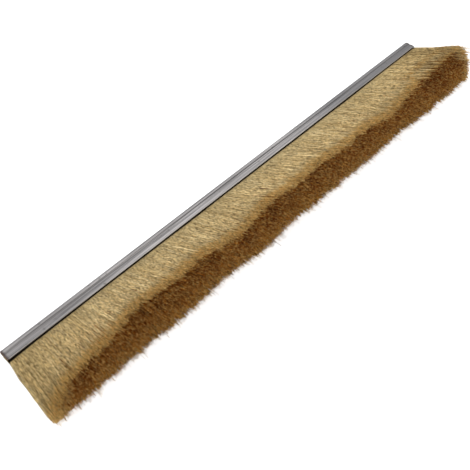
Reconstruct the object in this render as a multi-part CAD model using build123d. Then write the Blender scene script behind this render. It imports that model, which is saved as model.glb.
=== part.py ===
from build123d import *
from math import asin, cos, degrees, exp, pi, radians, sin
import os

# Brush strip of a letterbox draught excluder, lying on its side as it comes to rest.
# A strip of sheet steel is folded over one long pack of fine filaments, which are bent in
# half round a core wire. X runs along the strip, the tips point to -Y and Z is up. The
# origin is the middle of the lower jaw's outer face, which lies on the floor.

# Folded channel: length, outside width and depth, sheet and the crimp behind the lips
strip_length = 300.0
channel_width = 5.0
channel_depth = 7.0
sheet_thickness = 0.6
crimp_middle = 3.7
crimp_span = 1.5
crimp_depth = 0.35

# Core wire inside the fold
wire_diameter = 1.6

# Filament pack: free length past the lips, and how far its upper side flares upwards. The
# flare grows from the near end and eases off between two places along the strip
filament_length = 35.8
near_flare_angle = 9.0
main_flare_angle = 34.0
far_flare_angle = 30.0
flare_growth_length = 15.0
easing_start = 90.0
easing_end = 210.0
near_lean_length = 1.7

# Combed waves of the flare and of the free length: size, spacing and place of each wave
slow_wave_angle = 2.1
slow_wave_spacing = 117.0
slow_wave_start = 20.0
middle_wave_angle = 1.5
middle_wave_spacing = 64.0
middle_wave_start = -9.0
quick_wave_angle = 1.8
quick_wave_spacing = 40.0
length_wave = 0.4
length_wave_spacing = 45.0
length_wave_start = 20.0

# Cut end of the pack: how far its upper edge is set back, and over what angle it rounds.
# Close to the far end a hollow is worn out of the upper edge, and the foot is longer
edge_setback_length = 2.2
edge_round_angle = 5.0
foot_setback_length = 0.8
hollow_setback_length = 9.0
hollow_start = 249.0
hollow_end = 291.0
hollow_blend_length = 18.0
hollow_end_blend_length = 5.0
far_foot_growth_length = 1.6
heel_length = 5.0

# Combed tufts: their spacing, and how much neighbours differ in length and in height
tuft_pitch = 1.0
tuft_uneven_length = 0.8
tuft_uneven_angle = 0.8

# Fits
root_clearance = 0.1
wire_clearance = 0.1

# Derived places, as depths measured from the channel's back towards the tips
fold_radius = channel_width / 2
fold_height = channel_width / 2
crimp_start = crimp_middle - crimp_span / 2
crimp_end = crimp_middle + crimp_span / 2
origin_depth = (crimp_end + channel_depth) / 2
root_inset = sheet_thickness + root_clearance
root_half = fold_radius - root_inset


def section_point(depth, height):
    """A point of the YZ section from its depth behind the back and its height."""
    return (origin_depth - depth, height)


def fold_face(inset, mouth_depth):
    """Keyhole-shaped section of the fold, a given distance inside its outer skin."""
    half = fold_radius - inset
    middle = fold_height

    def side(sign):
        level = middle + sign * half
        pinch = level - sign * crimp_depth
        return [
            Line(section_point(fold_radius, level), section_point(crimp_start, level)),
            ThreePointArc(
                section_point(crimp_start, level),
                section_point(crimp_middle, pinch),
                section_point(crimp_end, level),
            ),
            Line(section_point(crimp_end, level), section_point(mouth_depth, level)),
        ]

    back = ThreePointArc(
        section_point(fold_radius, middle - half),
        section_point(fold_radius - half, middle),
        section_point(fold_radius, middle + half),
    )
    mouth = Line(
        section_point(mouth_depth, middle - half),
        section_point(mouth_depth, middle + half),
    )
    outline = Plane.YZ * Curve([back, *side(1), mouth, *side(-1)])
    return make_face(outline.edges())


def make_channel():
    """Sheet steel folded to a round back, crimped, with two flat jaws and open lips."""
    skin = fold_face(0, channel_depth)
    hollow = fold_face(sheet_thickness, channel_depth + sheet_thickness)
    return extrude(skin - hollow, amount=strip_length / 2, both=True)


def make_core_wire():
    """Steel wire that the filaments are bent round."""
    y, z = section_point(fold_radius, fold_height)
    section = Plane.YZ * (Pos(y, z) * Circle(wire_diameter / 2))
    return extrude(section, amount=strip_length / 2, both=True)


def tuft_variation(number, seed):
    """A repeatable uneven value from -1 to 1 for one tuft."""
    return sin(number * 2.4 + seed) * cos(number * 0.73 + 2 * seed)


def eased(value, start, end):
    """0 before start, 1 past end, and a smooth step between them."""
    part = min(max((value - start) / (end - start), 0.0), 1.0)
    return part * part * (3 - 2 * part)


def wave(along, spacing, start):
    """One combed wave, from -1 to 1, at a length along the strip."""
    return sin(2 * pi * (along - start) / spacing)


def flare_angle(along):
    """Upward flare of the pack's upper side at a length along the strip."""
    rise = 1 - exp(-along / flare_growth_length)
    fall = eased(along, easing_start, easing_end)
    gained = (main_flare_angle - near_flare_angle) * rise
    steady = near_flare_angle + gained - (main_flare_angle - far_flare_angle) * fall
    slow = slow_wave_angle * wave(along, slow_wave_spacing, slow_wave_start)
    middle = middle_wave_angle * wave(along, middle_wave_spacing, middle_wave_start)
    quick = quick_wave_angle * wave(along, quick_wave_spacing, 0.0)
    return steady + (slow + middle + quick) * rise


def edge_setback(along):
    """How far the upper edge is set back, with the hollow close to the far end."""
    into = eased(along, hollow_start, hollow_start + hollow_blend_length)
    out = eased(along, hollow_end - hollow_end_blend_length, hollow_end)
    return edge_setback_length + hollow_setback_length * into * (1 - out)


def tuft_section(number, count):
    """Fan-shaped outline of the free filaments at one tuft, as a closed wire."""
    share = number / count
    along = strip_length * share
    x = along - strip_length / 2
    lean = -near_lean_length * (1 - share) ** 8
    ridge = 1 if number % 2 else -1
    unevenness = 0.6 * ridge + 0.4 * tuft_variation(number, 1.0)
    flare = flare_angle(along) + tuft_uneven_angle * unevenness
    combed = length_wave * wave(along, length_wave_spacing, length_wave_start)
    reach = filament_length + combed + tuft_uneven_length * tuft_variation(number, 3.0)
    setback = edge_setback(along)
    longer_foot = far_foot_growth_length * eased(along, 0.6 * strip_length, strip_length)
    foot_reach = reach - foot_setback_length + longer_foot
    foot_angle = -degrees(asin(fold_height / foot_reach))

    def polar(radius, angle):
        return (radius * cos(radians(angle)), radius * sin(radians(angle)))

    upper_edge = polar(reach - setback, flare)
    upper_side = [
        (
            upper_edge[0] * step / 3,
            root_half + (upper_edge[1] - root_half) * step / 3,
        )
        for step in range(3)
    ]
    cut_end = [
        upper_edge,
        polar(reach - setback / 4, flare - edge_round_angle),
        polar(reach, flare * 0.6),
        polar(reach, flare * 0.25),
        polar(foot_reach, foot_angle),
    ]
    under_side = [(heel_length, -fold_height), (0, -root_half)]
    points = []
    for free, height in upper_side + cut_end + under_side:
        y, z = section_point(channel_depth + free, fold_height + height)
        points.append((x + lean * free / filament_length, y, z))
    return Wire.make_polygon(points, close=True)


def make_bristles():
    """Filament pack: its root in the fold, and the combed, flared free length."""
    count = round(strip_length / tuft_pitch)
    sections = [tuft_section(number, count) for number in range(count + 1)]
    fan = Solid.make_loft(sections, ruled=True)
    root = extrude(fold_face(root_inset, channel_depth), amount=strip_length / 2, both=True)
    y, z = section_point(fold_radius, fold_height)
    tunnel_face = Plane.YZ * (Pos(y, z) * Circle(wire_diameter / 2 + wire_clearance))
    tunnel = extrude(tunnel_face, amount=strip_length / 2, both=True)
    return (root - tunnel) + fan


os.makedirs("parts", exist_ok=True)
export_step(make_channel(), "parts/channel.step")
export_step(make_core_wire(), "parts/core_wire.step")
export_step(make_bristles(), "parts/bristles.step")
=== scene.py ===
import bpy
import math
import numpy as np
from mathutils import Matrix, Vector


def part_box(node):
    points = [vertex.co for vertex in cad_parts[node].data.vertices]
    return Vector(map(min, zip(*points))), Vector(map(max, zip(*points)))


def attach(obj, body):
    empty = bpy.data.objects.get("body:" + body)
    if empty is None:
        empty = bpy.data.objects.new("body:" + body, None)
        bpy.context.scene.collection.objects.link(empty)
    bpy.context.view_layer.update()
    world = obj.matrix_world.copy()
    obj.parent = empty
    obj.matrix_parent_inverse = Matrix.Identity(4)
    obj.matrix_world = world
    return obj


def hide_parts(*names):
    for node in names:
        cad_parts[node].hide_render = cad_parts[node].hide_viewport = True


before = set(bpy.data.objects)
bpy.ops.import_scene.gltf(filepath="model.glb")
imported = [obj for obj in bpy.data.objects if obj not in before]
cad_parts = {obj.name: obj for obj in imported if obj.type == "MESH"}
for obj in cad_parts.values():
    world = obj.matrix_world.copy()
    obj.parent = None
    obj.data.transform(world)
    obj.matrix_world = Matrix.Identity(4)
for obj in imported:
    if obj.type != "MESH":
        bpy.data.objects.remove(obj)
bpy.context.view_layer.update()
bpy.ops.object.select_all(action="DESELECT")

# Channel: one strip of galvanised sheet steel, rolled to a round back, a crimp line and two
# flat jaws, and cut off at both ends. The zinc is dull, with fine lines left along the
# strip by the rolls.
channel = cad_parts["channel"]
channel_low, channel_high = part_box("channel")
crimp_y = channel_high.y - 0.0037
zinc_metal = 0.45
zinc_roughness = 0.5
zinc_dark = (0.05, 0.048, 0.05, 1)
zinc_light = (0.43, 0.41, 0.405, 1)
speck_colour = (0.03, 0.025, 0.02, 1)
# The crimp and far-end colours below are painted shade.
crimp_shade_colour = (0.05, 0.045, 0.04, 1)
far_shade_colour = (0.09, 0.09, 0.095, 1)
worn_lip_colour = (0.4, 0.36, 0.32, 1)
cut_end_colour = (0.05, 0.03, 0.025, 1)


def roll_lines_group():
    """Fine lines along X: put out as a mask from 0 to 1 that changes over the surface."""
    group = bpy.data.node_groups.new("roll_lines", "ShaderNodeTree")
    group.interface.new_socket("Lines across", in_out="INPUT", socket_type="NodeSocketFloat")
    group.interface.new_socket("Mask", in_out="OUTPUT", socket_type="NodeSocketFloat")
    nodes, links = group.nodes, group.links
    entry = nodes.new("NodeGroupInput")
    leave = nodes.new("NodeGroupOutput")
    place = nodes.new("ShaderNodeTexCoord")
    stretch = nodes.new("ShaderNodeMapping")
    stretch.inputs["Scale"].default_value = (0.012, 1, 1)
    lines = nodes.new("ShaderNodeTexNoise")
    lines.inputs["Detail"].default_value = 4
    lines.inputs["Roughness"].default_value = 0.65
    links.new(place.outputs["Object"], stretch.inputs["Vector"])
    links.new(stretch.outputs["Vector"], lines.inputs["Vector"])
    links.new(entry.outputs["Lines across"], lines.inputs["Scale"])
    links.new(lines.outputs["Fac"], leave.inputs["Mask"])
    return group


def roll_lines_in(tree, lines_across):
    """The rolled lines' mask, placed in one material."""
    lines = tree.nodes.new("ShaderNodeGroup")
    lines.node_tree = roll_lines
    lines.inputs["Lines across"].default_value = lines_across
    return lines.outputs["Mask"]


def noise_in(tree, place, scale, detail, roughness=0.5):
    """Even noise at a place, from about 0 to 1."""
    noise = tree.nodes.new("ShaderNodeTexNoise")
    noise.inputs["Scale"].default_value = scale
    noise.inputs["Detail"].default_value = detail
    noise.inputs["Roughness"].default_value = roughness
    tree.links.new(place, noise.inputs["Vector"])
    return noise.outputs["Fac"]


def mask_in(tree, source, low, high, below, above, shape="SMOOTHSTEP"):
    """A mask that goes from below to above as a value goes from low to high."""
    step = tree.nodes.new("ShaderNodeMapRange")
    step.interpolation_type = shape
    step.inputs["From Min"].default_value = low
    step.inputs["From Max"].default_value = high
    step.inputs["To Min"].default_value = below
    step.inputs["To Max"].default_value = above
    tree.links.new(source, step.inputs["Value"])
    return step.outputs["Result"]


def value_in(tree, operation, *terms):
    """A value worked out from others. Each term is a socket or a number."""
    step = tree.nodes.new("ShaderNodeMath")
    step.operation = operation
    for place, term in zip(step.inputs, terms):
        if isinstance(term, (int, float)):
            place.default_value = term
        else:
            tree.links.new(term, place)
    return step.outputs["Value"]


def cover_in(tree, mask, colour, cover):
    """A colour with a second one over it where the mask is 1. The first may be a socket."""
    mix = tree.nodes.new("ShaderNodeMix")
    mix.data_type = "RGBA"
    mix.inputs["B"].default_value = cover
    tree.links.new(mask, mix.inputs["Factor"])
    if isinstance(colour, tuple):
        mix.inputs["A"].default_value = colour
    else:
        tree.links.new(colour, mix.inputs["A"])
    return mix.outputs["Result"]


def zinc_material():
    """Dull zinc: rolled lines, slow patches, painted shade in the crimp and towards the far end, worn
    lip edges, dark cut ends.
    """
    material = bpy.data.materials.new("galvanised_steel")
    material.use_nodes = True
    tree = material.node_tree
    shader = tree.nodes["Principled BSDF"]
    shader.inputs["Metallic"].default_value = zinc_metal
    place = tree.nodes.new("ShaderNodeTexCoord").outputs["Object"]
    split = tree.nodes.new("ShaderNodeSeparateXYZ")
    tree.links.new(place, split.inputs["Vector"])
    x, y = split.outputs["X"], split.outputs["Y"]

    # Rolled lines with slow patches in them, and a few dark specks
    lines = roll_lines_in(tree, 1500)
    patches = noise_in(tree, place, 14, 3)
    blend = tree.nodes.new("ShaderNodeMix")
    blend.inputs["Factor"].default_value = 0.25
    tree.links.new(lines, blend.inputs["A"])
    tree.links.new(patches, blend.inputs["B"])
    tint = tree.nodes.new("ShaderNodeValToRGB")
    tint.color_ramp.elements[0].position = 0.36
    tint.color_ramp.elements[0].color = zinc_dark
    tint.color_ramp.elements[1].position = 0.64
    tint.color_ramp.elements[1].color = zinc_light
    tree.links.new(blend.outputs["Result"], tint.inputs["Fac"])
    specks = mask_in(tree, noise_in(tree, place, 450, 2), 0.66, 0.72, 0.0, 0.6, "LINEAR")
    colour = cover_in(tree, specks, tint.outputs["Color"], speck_colour)

    # Painted shade in the crimp towards the near end, and painted shade that darkens the zinc towards
    # the far end
    from_crimp = value_in(tree, "ABSOLUTE", value_in(tree, "SUBTRACT", y, crimp_y))
    crimp_shade = mask_in(tree, from_crimp, 0.00004, 0.00022, 0.7, 0.0)
    near_end = mask_in(tree, x, -0.09, -0.02, 1.0, 0.0)
    colour = cover_in(tree, value_in(tree, "MULTIPLY", crimp_shade, near_end), colour, crimp_shade_colour)
    # Painted shade: the zinc darkens towards the far end, where less light falls.
    far_end_shade = mask_in(tree, x, 0.02, 0.08, 0.0, 0.62)
    colour = cover_in(tree, far_end_shade, colour, far_shade_colour)

    # Lips worn bright at their edges, and dark cut ends
    from_lip = value_in(tree, "SUBTRACT", y, channel_low.y)
    colour = cover_in(tree, mask_in(tree, from_lip, 0.00008, 0.00016, 1.0, 0.0), colour, worn_lip_colour)
    from_end = value_in(tree, "SUBTRACT", channel_high.x, value_in(tree, "ABSOLUTE", x))
    colour = cover_in(tree, mask_in(tree, from_end, 0.0002, 0.0014, 0.9, 0.0), colour, cut_end_colour)
    tree.links.new(colour, shader.inputs["Base Color"])

    # The lines are felt too: they turn the gloss and stand a hair proud
    gloss = mask_in(tree, lines, 0.0, 1.0, zinc_roughness - 0.1, zinc_roughness + 0.12, "LINEAR")
    tree.links.new(gloss, shader.inputs["Roughness"])
    relief = tree.nodes.new("ShaderNodeBump")
    relief.inputs["Strength"].default_value = 0.35
    relief.inputs["Distance"].default_value = 0.0001
    tree.links.new(lines, relief.inputs["Height"])
    tree.links.new(relief.outputs["Normal"], shader.inputs["Normal"])
    return material


roll_lines = roll_lines_group()
channel.data.materials.clear()
channel.data.materials.append(zinc_material())

# Core wire: bright drawn steel, laid in the fold with the filaments bent round it. Only its
# two cut ends can be seen, with faint lines from the die.
core_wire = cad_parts["core_wire"]


def wire_material():
    """Drawn steel, with faint lines along the wire."""
    material = bpy.data.materials.new("drawn_steel")
    material.use_nodes = True
    tree = material.node_tree
    shader = tree.nodes["Principled BSDF"]
    shader.inputs["Metallic"].default_value = 1.0
    shader.inputs["Roughness"].default_value = 0.35
    tint = tree.nodes.new("ShaderNodeValToRGB")
    tint.color_ramp.elements[0].color = (0.3, 0.3, 0.3, 1)
    tint.color_ramp.elements[1].color = (0.55, 0.55, 0.55, 1)
    tree.links.new(roll_lines_in(tree, 3500), tint.inputs["Fac"])
    tree.links.new(tint.outputs["Color"], shader.inputs["Base Color"])
    return material


core_wire.data.materials.clear()
core_wire.data.materials.append(wire_material())

# Bristles: tens of thousands of fine filaments, bent in half round the wire and gripped by
# the jaws. Past the lips they flare upwards, lie flat underneath and end in a rounded brown
# cut. They are laid as separate fibres, a few thousand to a piece.
strip_half = channel_high.x
lip_y = channel_low.y
middle_z = (channel_low.z + channel_high.z) / 2
root_half = 0.0014
root_inside = 0.0002
fibre_radius = 0.00012
chart_border = 0.47
random = np.random.default_rng(11)

# How far the upper side flares, and its combed waves: degrees, spacing and start
near_flare = math.radians(9)
main_flare = math.radians(34.2)
far_flare = math.radians(30)
foot_angle = math.radians(-3.6)
flare_growth = 0.05
easing_start, easing_end = 0.3, 0.7
flare_waves = [(2.1, 0.117, 0.020), (1.5, 0.064, -0.009), (1.8, 0.040, 0.0)]

# Free length, and how much of it each place of the cut end lacks or gains
free_length = 0.0360
brow_setback = 0.0004
brow_unevenness = 0.0021
foot_setback = 0.0008
near_foot_setback = 0.0028
far_foot_growth = 0.0016
far_foot_swell = 0.0014
hollow_depth = 0.0135
length_waves = [(0.0004, 0.045, 0.020), (0.0004, 0.066, -0.019)]

# How the fibres lean along the strip: at the near end, towards tufts, and past the two ends
near_lean = 0.0021
tuft_width = 0.0013
tuft_pull = 0.3
overhang_kept = 0.0022


def ramp(value, start, end):
    """0 at start, 1 at end, and a straight slope between them. Either may be the larger."""
    return np.clip((value - start) / (end - start), 0, 1)


def softened(part):
    """A slope from 0 to 1 with its two corners rounded."""
    return part * part * (3 - 2 * part)


def waves_at(along, waves):
    """Combed waves added up at a length along the strip."""
    return sum(size * np.sin(2 * math.pi * (along - start) / spacing) for size, spacing, start in waves)


def wander(x, step, seed):
    """Smooth uneven values from -1 to 1 along the strip, one random value at each step."""
    values = np.random.default_rng(seed).uniform(-1, 1, int(2 * strip_half / step) + 8)
    place = (x + strip_half) / step + 3
    cell = np.floor(place).astype(int)
    part = softened(place - cell)
    return values[cell] * (1 - part) + values[cell + 1] * part


def flare_at(x):
    """The upward flare of the pack's upper side at a place along the strip."""
    along = x + strip_half
    share = along / (2 * strip_half)
    rise = 1 - np.exp(-share / flare_growth)
    fall = softened(ramp(share, easing_start, easing_end))
    steady = near_flare + (main_flare - near_flare) * rise - (main_flare - far_flare) * fall
    return steady + np.radians(waves_at(along, flare_waves)) * rise


def model_fibre(joints):
    """One fibre of unit length and radius: a three-sided rod, slimmer at its tip, with joints."""
    bpy.ops.mesh.primitive_cylinder_add(
        vertices=3, radius=1, depth=1, end_fill_type="NGON", location=(0, 0, 0.5)
    )
    fibre = bpy.context.object
    bpy.ops.object.transform_apply(location=True, rotation=False, scale=False)
    bpy.ops.object.mode_set(mode="EDIT")
    for height in joints:
        bpy.ops.mesh.select_all(action="SELECT")
        bpy.ops.mesh.bisect(plane_co=(0, 0, height), plane_no=(0, 0, 1))
    bpy.ops.mesh.select_all(action="SELECT")
    bpy.ops.mesh.quads_convert_to_tris()
    bpy.ops.object.mode_set(mode="OBJECT")
    for vertex in fibre.data.vertices:
        slim = 1 - 0.4 * vertex.co.z ** 3
        vertex.co.x *= slim
        vertex.co.y *= slim
    corners = np.array([vertex.co[:] for vertex in fibre.data.vertices])
    faces = np.array([face.vertices[:] for face in fibre.data.polygons])
    bpy.data.objects.remove(fibre)
    return corners, faces


long_fibre = model_fibre((0.3, 0.65))
short_fibre = model_fibre(())


def even_places(count):
    """Places along the strip, evenly spread with a little disorder."""
    return np.sort(random.uniform(-strip_half, strip_half, count)) * 0.9995


def lengths_at(x, layer, lane, scatter):
    """Each fibre's free length, from its place along the strip and in the pack."""
    count = len(x)
    along = x + strip_half
    share = along / (2 * strip_half)
    brow = ramp(layer, 0.8, 1.0)
    foot = ramp(layer, 0.12, 0.0)
    lower_half = ramp(layer, 0.5, 0.0)
    length = free_length - brow_setback * brow**2 - foot_setback * foot**2 + scatter
    length = length - np.abs(random.normal(0, brow_unevenness, count)) * brow**2
    length = length + far_foot_growth * ramp(share, 0.6, 1.0) * lower_half

    # The hollow worn out of the upper edge near the far end, with a few fibres left long
    worn = softened(ramp(share, 0.83, 0.89) * (1 - 0.7 * ramp(share, 0.988, 0.996)))
    length = length - hollow_depth * worn * ramp(layer, 0.6, 0.94) * (random.random(count) < 0.94)

    # The near corner is shorter, and the foot swells just before the far corner
    length = length - near_foot_setback * ramp(share, 0.016, 0.0) * (layer < 0.5)
    length = length + far_foot_swell * np.exp(-(((share - 0.945) / 0.025) ** 2)) * lower_half

    # Combed waves, uneven tufts, and the odd fibre that stands out
    length = length + waves_at(along, length_waves)
    length = length + 0.0005 * wander(x, 0.006, 1) + 0.0011 * wander(lane, 0.0016, 2)
    return length + np.abs(random.normal(0, 0.0016, count)) * (random.random(count) < 0.06)


def leans_at(x):
    """How far each fibre's tip stands from its root along the strip."""
    share = (x + strip_half) / (2 * strip_half)
    tuft_middle = (np.floor(x / tuft_width) + 0.5) * tuft_width
    lean = tuft_pull * (tuft_middle - x) - near_lean * (1 - share) ** 8
    lean = lean + 0.0007 * wander(x, 0.014, 3) + 0.0003 * wander(x, 0.003, 4)
    lean = lean + random.normal(0, 0.0013, len(x))
    overhang = np.maximum((x + lean) * np.sign(x) - strip_half - overhang_kept, 0) * np.sign(x)
    return lean - 0.6 * overhang


def lay_fibres(name, fibre, x, layer, start, tone, weave=1.0):
    """One piece of fibres. x is each one's place at the lips, layer its place from the under
    side, 0, to the upper side, 1, start the share of its length that is left out, tone its
    shade in the colour chart, and weave how much its joints wander."""
    corners, faces = fibre
    count = len(x)
    share = (x + strip_half) / (2 * strip_half)
    lane = (x + strip_half + 0.017 * np.floor(layer * 40)) % (2 * strip_half) - strip_half
    scatter = random.normal(0, 0.0009, count)
    length = lengths_at(x, layer, lane, scatter)
    lean = leans_at(x)
    whisker = (random.random(count) < 0.04) * (layer > 0.5) * ramp(share, 0.94, 0.98)
    length = length + 0.012 * whisker * random.random(count)
    angle = foot_angle + (flare_at(x) - foot_angle) * layer
    angle = angle + math.radians(0.45) * wander(x, 0.0021, 5) * layer
    angle = angle + np.radians(random.normal(0, 0.8, count)) * np.clip(layer * 4, 0.1, 1)

    # Where each fibre leaves the lips and where it ends, never below the floor
    root_z = middle_z + root_half * (2 * layer - 1)
    root = np.stack([x, np.full(count, lip_y + root_inside), root_z], 1)
    tip_y = lip_y - length * np.cos(angle)
    tip_z = np.maximum(middle_z + length * np.sin(angle), 1.2 * fibre_radius)
    tip = np.stack([x + lean, tip_y, tip_z], 1)

    # The unit fibre's corners, put on that line and turned about it by a random angle
    roll = random.uniform(0, 2 * math.pi, count)[:, None]
    thick = fibre_radius * random.uniform(0.75, 1.3, count)[:, None]
    run = (tip - root) / np.linalg.norm(tip - root, axis=1)[:, None]
    side = np.cross(run, (0, 0, 1))
    side /= np.linalg.norm(side, axis=1)[:, None]
    over = np.cross(side, run)
    across = np.cos(roll) * corners[:, 0] - np.sin(roll) * corners[:, 1]
    upright = np.sin(roll) * corners[:, 0] + np.cos(roll) * corners[:, 1]
    place = start[:, None] + (1 - start[:, None]) * corners[:, 2][None, :]
    points = root[:, None, :] + (tip - root)[:, None, :] * place[:, :, None]

    # Its upper layers sag a little, and its joints wander sideways and upwards
    sag = (tip - root)[:, 2, None] * (place**1.1 - place)
    points[:, :, 2] += sag * (layer > 0.3)[:, None]
    outwards = ramp(np.abs(x), strip_half - 0.003, strip_half) * np.sign(x)
    for number, joint in enumerate(np.unique(np.round(corners[:, 2], 4))[1:-1]):
        here = np.abs(corners[:, 2] - joint) < 0.01
        sideways = 0.0002 * wander(lane, 0.0009, 60 + number) + random.normal(0, 0.0003, count)
        upwards = 0.0003 * wander(lane, 0.0006, 70 + number) + random.normal(0, 0.00015, count)
        points[:, here, 0] += weave * (sideways + 0.0002 * outwards)[:, None]
        points[:, here, 2] += weave * upwards[:, None]
    points = points + side[:, None, :] * (across * thick)[:, :, None]
    points = points + over[:, None, :] * (upright * thick)[:, :, None]
    points[:, :, 2] = np.maximum(points[:, :, 2], 0.00002)
    all_faces = faces[None, :, :] + (np.arange(count) * len(corners))[:, None, None]
    mesh = bpy.data.meshes.new(name)
    mesh.from_pydata(points.reshape(-1, 3), [], all_faces.reshape(-1, 3))

    # The colour chart: shade across it, brown to the right for inner fibres, and root to tip up it
    tone = tone + 0.04 * wander(lane, 0.0005, 22) - (tone > chart_border) * 80 * scatter
    brown = (start > 0) & (tone > chart_border)
    tone = np.where(brown, np.clip(tone, 0.49, 0.99), np.clip(tone, 0.01, 0.45))
    chart_x = tone[:, None, None] + (corners[:, 0] * 0.0012)[faces][None, :, :]
    chart_y = np.broadcast_to(place[:, faces], chart_x.shape)
    chart = mesh.uv_layers.new(name="OFBake")
    chart.uv.foreach_set("vector", np.stack([chart_x, chart_y], 3).astype(np.float32).ravel())
    mesh.update()
    piece = bpy.data.objects.new(name, mesh)
    bpy.context.scene.collection.objects.link(piece)
    mesh.shade_smooth()
    return piece


def join_pack(piece, material):
    """Give a piece of the pack its finish, hang it from the root body, and hide the CAD bristles that it
    stands in for.
    """
    piece.data.materials.append(material)
    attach(piece, "root")
    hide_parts("bristles")


def fibre_material():
    """Fibre colours read from the pieces' chart: shade across it, root to tip up it."""
    material = bpy.data.materials.new("golden_fibre")
    material.use_nodes = True
    tree = material.node_tree
    shader = tree.nodes["Principled BSDF"]
    shader.inputs["Roughness"].default_value = 0.6
    shader.inputs["Specular IOR Level"].default_value = 0.06
    place = tree.nodes.new("ShaderNodeTexCoord").outputs["Object"]
    chart = tree.nodes.new("ShaderNodeUVMap")
    chart.uv_map = "OFBake"
    split = tree.nodes.new("ShaderNodeSeparateXYZ")
    tree.links.new(chart.outputs["UV"], split.inputs["Vector"])
    shade, height = split.outputs["X"], split.outputs["Y"]

    def scaled(colour, factor):
        """A colour made brighter or darker."""
        scale = tree.nodes.new("ShaderNodeVectorMath")
        scale.operation = "SCALE"
        tree.links.new(colour, scale.inputs[0])
        tree.links.new(factor, scale.inputs["Scale"])
        return scale.outputs["Vector"]

    # Shade: tan to the left of the chart's border and brown to its right
    tint = tree.nodes.new("ShaderNodeValToRGB")
    stops = [
        (0.0, (0.85, 0.7, 0.4)),
        (0.2, (0.62, 0.465, 0.215)),
        (0.46, (0.14, 0.08, 0.03)),
        (0.49, (0.6, 0.33, 0.085)),
        (0.72, (0.27, 0.09, 0.008)),
        (1.0, (0.11, 0.028, 0.002)),
    ]
    while len(tint.color_ramp.elements) < len(stops):
        tint.color_ramp.elements.new(0.5)
    for element, (position, colour) in zip(tint.color_ramp.elements, stops):
        element.position = position
        element.color = (*colour, 1)
    tree.links.new(shade, tint.inputs["Fac"])

    # Every fibre is a little brighter or darker than the next
    own_number = value_in(tree, "FLOOR", value_in(tree, "MULTIPLY", shade, 400.0))
    chance = tree.nodes.new("ShaderNodeTexWhiteNoise")
    chance.noise_dimensions = "1D"
    tree.links.new(own_number, chance.inputs["W"])
    strength = mask_in(tree, chance.outputs["Value"], 0.0, 1.0, 0.9, 1.4, "LINEAR")
    colour = scaled(tint.outputs["Color"], strength)

    # Dark stretches along each fibre, where its neighbours shade it
    apart = tree.nodes.new("ShaderNodeCombineXYZ")
    tree.links.new(value_in(tree, "MULTIPLY", own_number, 7.3), apart.inputs["X"])
    tree.links.new(value_in(tree, "MULTIPLY", height, 9.0), apart.inputs["Y"])
    stretches = tree.nodes.new("ShaderNodeTexNoise")
    stretches.noise_dimensions = "2D"
    stretches.inputs["Scale"].default_value = 1
    stretches.inputs["Detail"].default_value = 1
    tree.links.new(apart.outputs["Vector"], stretches.inputs["Vector"])
    shaded = mask_in(tree, stretches.outputs["Fac"], 0.3, 0.52, 0.55, 0.0, "LINEAR")
    colour = cover_in(tree, shaded, colour, (0.08, 0.036, 0.01, 1))

    # Painted shade: dark flecks drawn out along the fibres, where the shade deep between them shows
    drawn_out = tree.nodes.new("ShaderNodeMapping")
    drawn_out.inputs["Scale"].default_value = (1, 0.12, 0.12)
    tree.links.new(place, drawn_out.inputs["Vector"])
    flecks = noise_in(tree, drawn_out.outputs["Vector"], 3400, 2, 0.7)
    gap_shade = mask_in(tree, flecks, 0.38, 0.52, 0.66, 0.0, "LINEAR")
    colour = cover_in(tree, gap_shade, colour, (0.05, 0.022, 0.006, 1))

    # Brighter away from the lips, golden towards the tip, and painted shade inside the mouth
    colour = scaled(colour, mask_in(tree, height, 0.0, 0.7, 0.85, 1.22, "LINEAR"))
    towards_tip = mask_in(tree, height, 0.86, 1.0, 0.0, 1.0)
    golden = cover_in(tree, towards_tip, (1, 1, 1, 1), (0.98, 0.84, 0.6, 1))
    tinted = tree.nodes.new("ShaderNodeVectorMath")
    tinted.operation = "MULTIPLY"
    tree.links.new(colour, tinted.inputs[0])
    tree.links.new(golden, tinted.inputs[1])
    # Painted shade: the fibres go nearly black just past the lips, where the jaws shade them.
    colour = scaled(tinted.outputs["Vector"], mask_in(tree, height, 0.03, 0.05, 0.03, 1.0))

    # Specks on the cut end, where single cut tips catch the light
    at_tip = mask_in(tree, height, 0.9, 0.98, 0.0, 1.0)
    specks = mask_in(tree, noise_in(tree, place, 720, 1), 0.52, 0.58, 0.0, 0.85)
    lit_tips = value_in(tree, "MULTIPLY", at_tip, specks)
    colour = cover_in(tree, lit_tips, colour, (0.78, 0.48, 0.16, 1))
    tree.links.new(colour, shader.inputs["Base Color"])
    return material


golden_fibre = fibre_material()

# Upper fibres: the side that faces up, combed out from the lips. They are tan, a little deeper in colour
# towards the near end, darker with painted shade towards the far end and the deeper they lie, and lie in
# the top twelfth of the pack.
upper_count = 9600
upper_depth = 0.08
for part in (1, 2):
    x = even_places(upper_count)
    depth = random.random(upper_count) ** 1.3
    streak = np.clip(wander(x, 0.0006, 21) - 0.3, 0, 1)
    # Fibres that lie deeper are a little darker: painted shade from those above them.
    tone = 0.13 + 0.05 * random.normal(0, 1, upper_count) + 0.05 * streak + 0.03 * depth
    tone = tone + 0.08 * ramp(x, 0.05 - strip_half, -strip_half)
    # Painted shade: darker towards the far end, where less light falls.
    tone = tone + 0.12 * ramp(x, 0.115, 0.14)
    whole = np.zeros(upper_count)
    upper = lay_fibres(f"upper_fibres_{part}", long_fibre, x, 1 - upper_depth * depth, whole, tone)
    join_pack(upper, golden_fibre)

# Under fibres: the side that lies flat on the floor. They are weighed down by the rest of
# the pack, so they wander less.
under_count = 5600
x = even_places(under_count)
tone = 0.22 + 0.1 * random.normal(0, 1, under_count)
layer = 0.05 * random.random(under_count)
whole = np.zeros(under_count)
join_pack(lay_fibres("under_fibres", long_fibre, x, layer, whole, tone, 0.3), golden_fibre)

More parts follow.
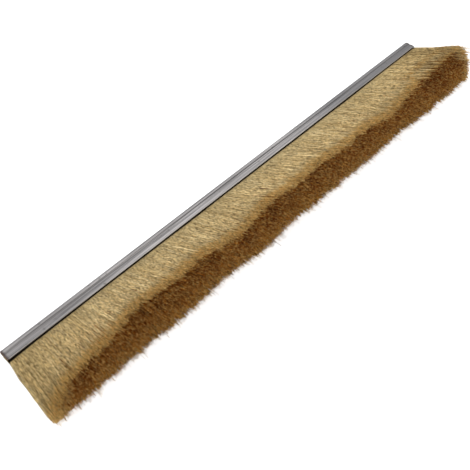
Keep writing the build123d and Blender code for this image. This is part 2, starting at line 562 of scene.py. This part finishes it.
# Side fibres: the whole depth of the pack at the strip's two cut ends, where the pack is
# seen from its side.
side_count = 3000
x = strip_half * random.choice([-1, 1], side_count) * (1 - 0.006 * random.random(side_count))
tone = 0.07 + 0.1 * random.normal(0, 1, side_count)
layer = random.random(side_count)
join_pack(lay_fibres("side_fibres", long_fibre, x, layer, np.zeros(side_count), tone), golden_fibre)

# Inner fibres: the outer parts of the fibres between, which are all that the cut end shows. They are
# brown, with painted shade making them darkest below the upper edge and darker towards the far end.
# Beside the near end some are as pale as the upper side.
inner_count = 13500
inner_start = 0.6
for part in (1, 2, 3):
    x = even_places(inner_count)
    layer = 0.01 + 0.97 * random.random(inner_count)
    down = 1 - layer
    # Painted shade: darkest just below the upper edge, where the upper fibres shade the cut, and lighter
    # further down.
    tone = 0.8 - 0.3 * ramp(down, 0.4, 0.9)
    tone = tone + 0.07 * wander(x, 0.009, 23) + 0.08 * wander(x, 0.0026, 24)
    # Painted shade darkens the cut towards the far end; the random part is each fibre's own shade.
    tone = tone + 0.15 * ramp(x, 0.1, 0.13) + 0.14 * random.normal(0, 1, inner_count)
    pale = random.random(inner_count) < 1.2 - (x + strip_half) / 0.013 - 0.5 * down
    pale_tone = 0.2 + 0.05 * random.normal(0, 1, inner_count)
    tone = np.where(pale, pale_tone, np.maximum(tone, 0.49))
    start = np.full(inner_count, inner_start)
    join_pack(lay_fibres(f"inner_fibres_{part}", short_fibre, x, layer, start, tone), golden_fibre)

# Pack core: the filaments deep inside, which are packed so close that they read as one mass, painted
# dark for the shade deep in the pack. It fills the fold round the wire and opens to a fan under the
# outer fibres.
wire_low, wire_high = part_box("core_wire")
wire_y = (wire_low.y + wire_high.y) / 2
wire_radius = (wire_high.z - wire_low.z) / 2
core_inset = 0.0012
core_root_radius = 0.0016
core_reach = 0.8
core_bulge = 1.12


def core_section(x):
    """The core's outline at one place: half round the wire, and then a fan past the lips."""
    flare = float(flare_at(x)) - math.radians(2.5)
    share = (x + strip_half) / (2 * strip_half)
    reach = core_reach * free_length - 0.009 * max(share - 0.8, 0) / 0.2
    turn = np.linspace(1.5 * math.pi, 2.5 * math.pi, 9)
    across = [wire_y + core_root_radius * math.cos(angle) for angle in turn]
    upright = [middle_z + core_root_radius * math.sin(angle) for angle in turn]
    mouth = root_half - 0.0003
    bulge = core_bulge * reach
    fan = [
        (lip_y, middle_z + mouth),
        (lip_y - reach * math.cos(flare), middle_z + reach * math.sin(flare) - 0.0005),
        (lip_y - bulge * math.cos(flare / 2), middle_z + 1.1 * reach * math.sin(flare / 2)),
        (lip_y - bulge, core_inset),
        (lip_y - 0.006, core_inset),
        (lip_y, middle_z - mouth),
    ]
    return [(x, y, z) for y, z in [*zip(across, upright), *fan]]


def make_core():
    """The core's skin, from one end of the strip to the other, closed at both."""
    stations = np.linspace(core_inset - strip_half, strip_half - core_inset, 61)
    sections = [core_section(x) for x in stations]
    width = len(sections[0])
    points = [point for section in sections for point in section]
    faces = [list(range(width))[::-1], list(range(len(points) - width, len(points)))]
    for row in range(len(stations) - 1):
        first = row * width
        for column in range(width):
            after = (column + 1) % width
            faces.append((first + column, first + after, first + width + after, first + width + column))
    mesh = bpy.data.meshes.new("pack_core")
    mesh.from_pydata(points, [], faces)
    mesh.update()
    piece = bpy.data.objects.new("pack_core", mesh)
    bpy.context.scene.collection.objects.link(piece)
    return piece


# Painted shade: the core is near black, for the shade deep inside the pack.
dark = bpy.data.materials.new("pack_inside_shade")
dark.use_nodes = True
dark.node_tree.nodes["Principled BSDF"].inputs["Base Color"].default_value = (0.05, 0.026, 0.01, 1)
dark.node_tree.nodes["Principled BSDF"].inputs["Roughness"].default_value = 0.95
join_pack(make_core(), dark)

# Looped fibres: at the strip's two cut ends the filaments can be seen turning round the
# wire, inside the fold.
loop_count = 400
loop_depth = 0.0004
loop_gap = 0.00012
loop_spread = 0.00055


def make_loops():
    """Fibres that come in at the lips, go half round the wire and go out again."""
    x = np.tile([-1, 1], loop_count // 2) * (strip_half - loop_depth * random.random(loop_count))
    radius = wire_radius + loop_gap + loop_spread * random.random(loop_count)
    turn = np.linspace(-0.5 * math.pi, 0.5 * math.pi, 9)
    arc_y = wire_y + radius[:, None] * np.cos(turn)
    arc_z = middle_z + radius[:, None] * np.sin(turn)
    lip = np.full((loop_count, 1), lip_y + 0.0003)
    path_y = np.concatenate([lip, arc_y, lip], 1)
    path_z = np.concatenate([arc_z[:, :1], arc_z, arc_z[:, -1:]], 1)
    steps = path_y.shape[1]

    # Three corners round the path at every step
    ring = np.radians([90, 210, 330])
    out_y = np.concatenate([[0], np.cos(turn), [0]])
    out_z = np.concatenate([[-1], np.sin(turn), [1]])
    thick = 0.9 * fibre_radius
    points = np.zeros((loop_count, steps, 3, 3))
    points[..., 0] = x[:, None, None] + thick * np.cos(ring)
    points[..., 1] = path_y[:, :, None] + thick * out_y[:, None] * np.sin(ring)
    points[..., 2] = path_z[:, :, None] + thick * out_z[:, None] * np.sin(ring)
    step = np.arange(steps - 1)[:, None] * 3
    around = np.arange(3)[None, :]
    following = (around + 1) % 3
    quads = np.stack([step + around, step + following, step + 3 + following, step + 3 + around], 2)
    quads = quads.reshape(-1, 4)[None] + (np.arange(loop_count) * steps * 3)[:, None, None]
    mesh = bpy.data.meshes.new("looped_fibres")
    mesh.from_pydata(points.reshape(-1, 3), [], quads.reshape(-1, 4))

    # Their shades in the colour chart, tan and in the lower part of its height
    shade = np.clip(0.3 + 0.1 * random.normal(0, 1, loop_count), 0.1, 0.44)
    across = shade[:, None, None] + np.array([0, 0.002, 0.002, 0])[None, None, :]
    up = 0.08 + 0.3 * np.array([0, 0, 1, 1])[None, None, :]
    spread = np.broadcast_arrays(across, up, np.zeros(quads.shape))
    chart = mesh.uv_layers.new(name="OFBake")
    chart.uv.foreach_set("vector", np.stack(spread[:2], 3).astype(np.float32).ravel())
    mesh.update()
    piece = bpy.data.objects.new("looped_fibres", mesh)
    bpy.context.scene.collection.objects.link(piece)
    return piece


join_pack(make_loops(), golden_fibre)

# Floor: a plain pale sheet under the brush. It is lifted to white where the camera looks at
# it, and still takes the brush's shadow.
bpy.ops.mesh.primitive_plane_add(size=6, location=(0, 0, 0))
floor = bpy.context.object
floor.name = "floor"
paper = bpy.data.materials.new("pale_floor")
paper.use_nodes = True
paper_nodes, paper_links = paper.node_tree.nodes, paper.node_tree.links
paper_shader = paper_nodes["Principled BSDF"]
paper_shader.inputs["Base Color"].default_value = (0.86, 0.86, 0.86, 1)
paper_shader.inputs["Roughness"].default_value = 0.9
paper_shader.inputs["Specular IOR Level"].default_value = 0.1
paper_shader.inputs["Emission Color"].default_value = (1, 1, 1, 1)
seen = paper_nodes.new("ShaderNodeLightPath").outputs["Is Camera Ray"]
lift = value_in(paper.node_tree, "MULTIPLY", seen, 0.6)
paper_links.new(lift, paper_shader.inputs["Emission Strength"])
floor.data.materials.append(paper)

# Light: a white surrounding, a large soft lamp above and behind the channel, and a weak one
# beyond the near end that fills the shade on it.
scene = bpy.context.scene
world = bpy.data.worlds.new("studio")
scene.world = world
world.use_nodes = True
world.node_tree.nodes["Background"].inputs["Color"].default_value = (1, 1, 1, 1)
world.node_tree.nodes["Background"].inputs["Strength"].default_value = 0.62
bpy.ops.object.light_add(type="AREA", location=(0.46, 0.58, 0.8))
main_lamp = bpy.context.object
main_lamp.data.size = 0.6
main_lamp.data.energy = 7
main_lamp.rotation_euler = (math.radians(-36), math.radians(25), 0)
bpy.ops.object.light_add(type="AREA", location=(-0.6, -0.1, 0.5))
fill_lamp = bpy.context.object
fill_lamp.data.size = 0.8
fill_lamp.data.energy = 1.6
fill_lamp.rotation_euler = (0, math.radians(-45), 0)

# Camera: above and in front of the near end, looking down along the strip. Its small shifts
# put the strip's middle where the photo has it.
camera_tilt = math.radians(90 - 52)
camera_turn = math.radians(-46.06)
scene.view_settings.view_transform = "Standard"
bpy.ops.object.camera_add(location=(-0.1833, -0.1677, 0.2710), rotation=(camera_tilt, 0, camera_turn))
scene.camera = bpy.context.object
scene.camera.data.sensor_width = 36
scene.camera.data.lens = 52.97
scene.camera.data.shift_x = 0.0018
scene.camera.data.shift_y = -0.0024
scene.camera.data.clip_start = 0.01
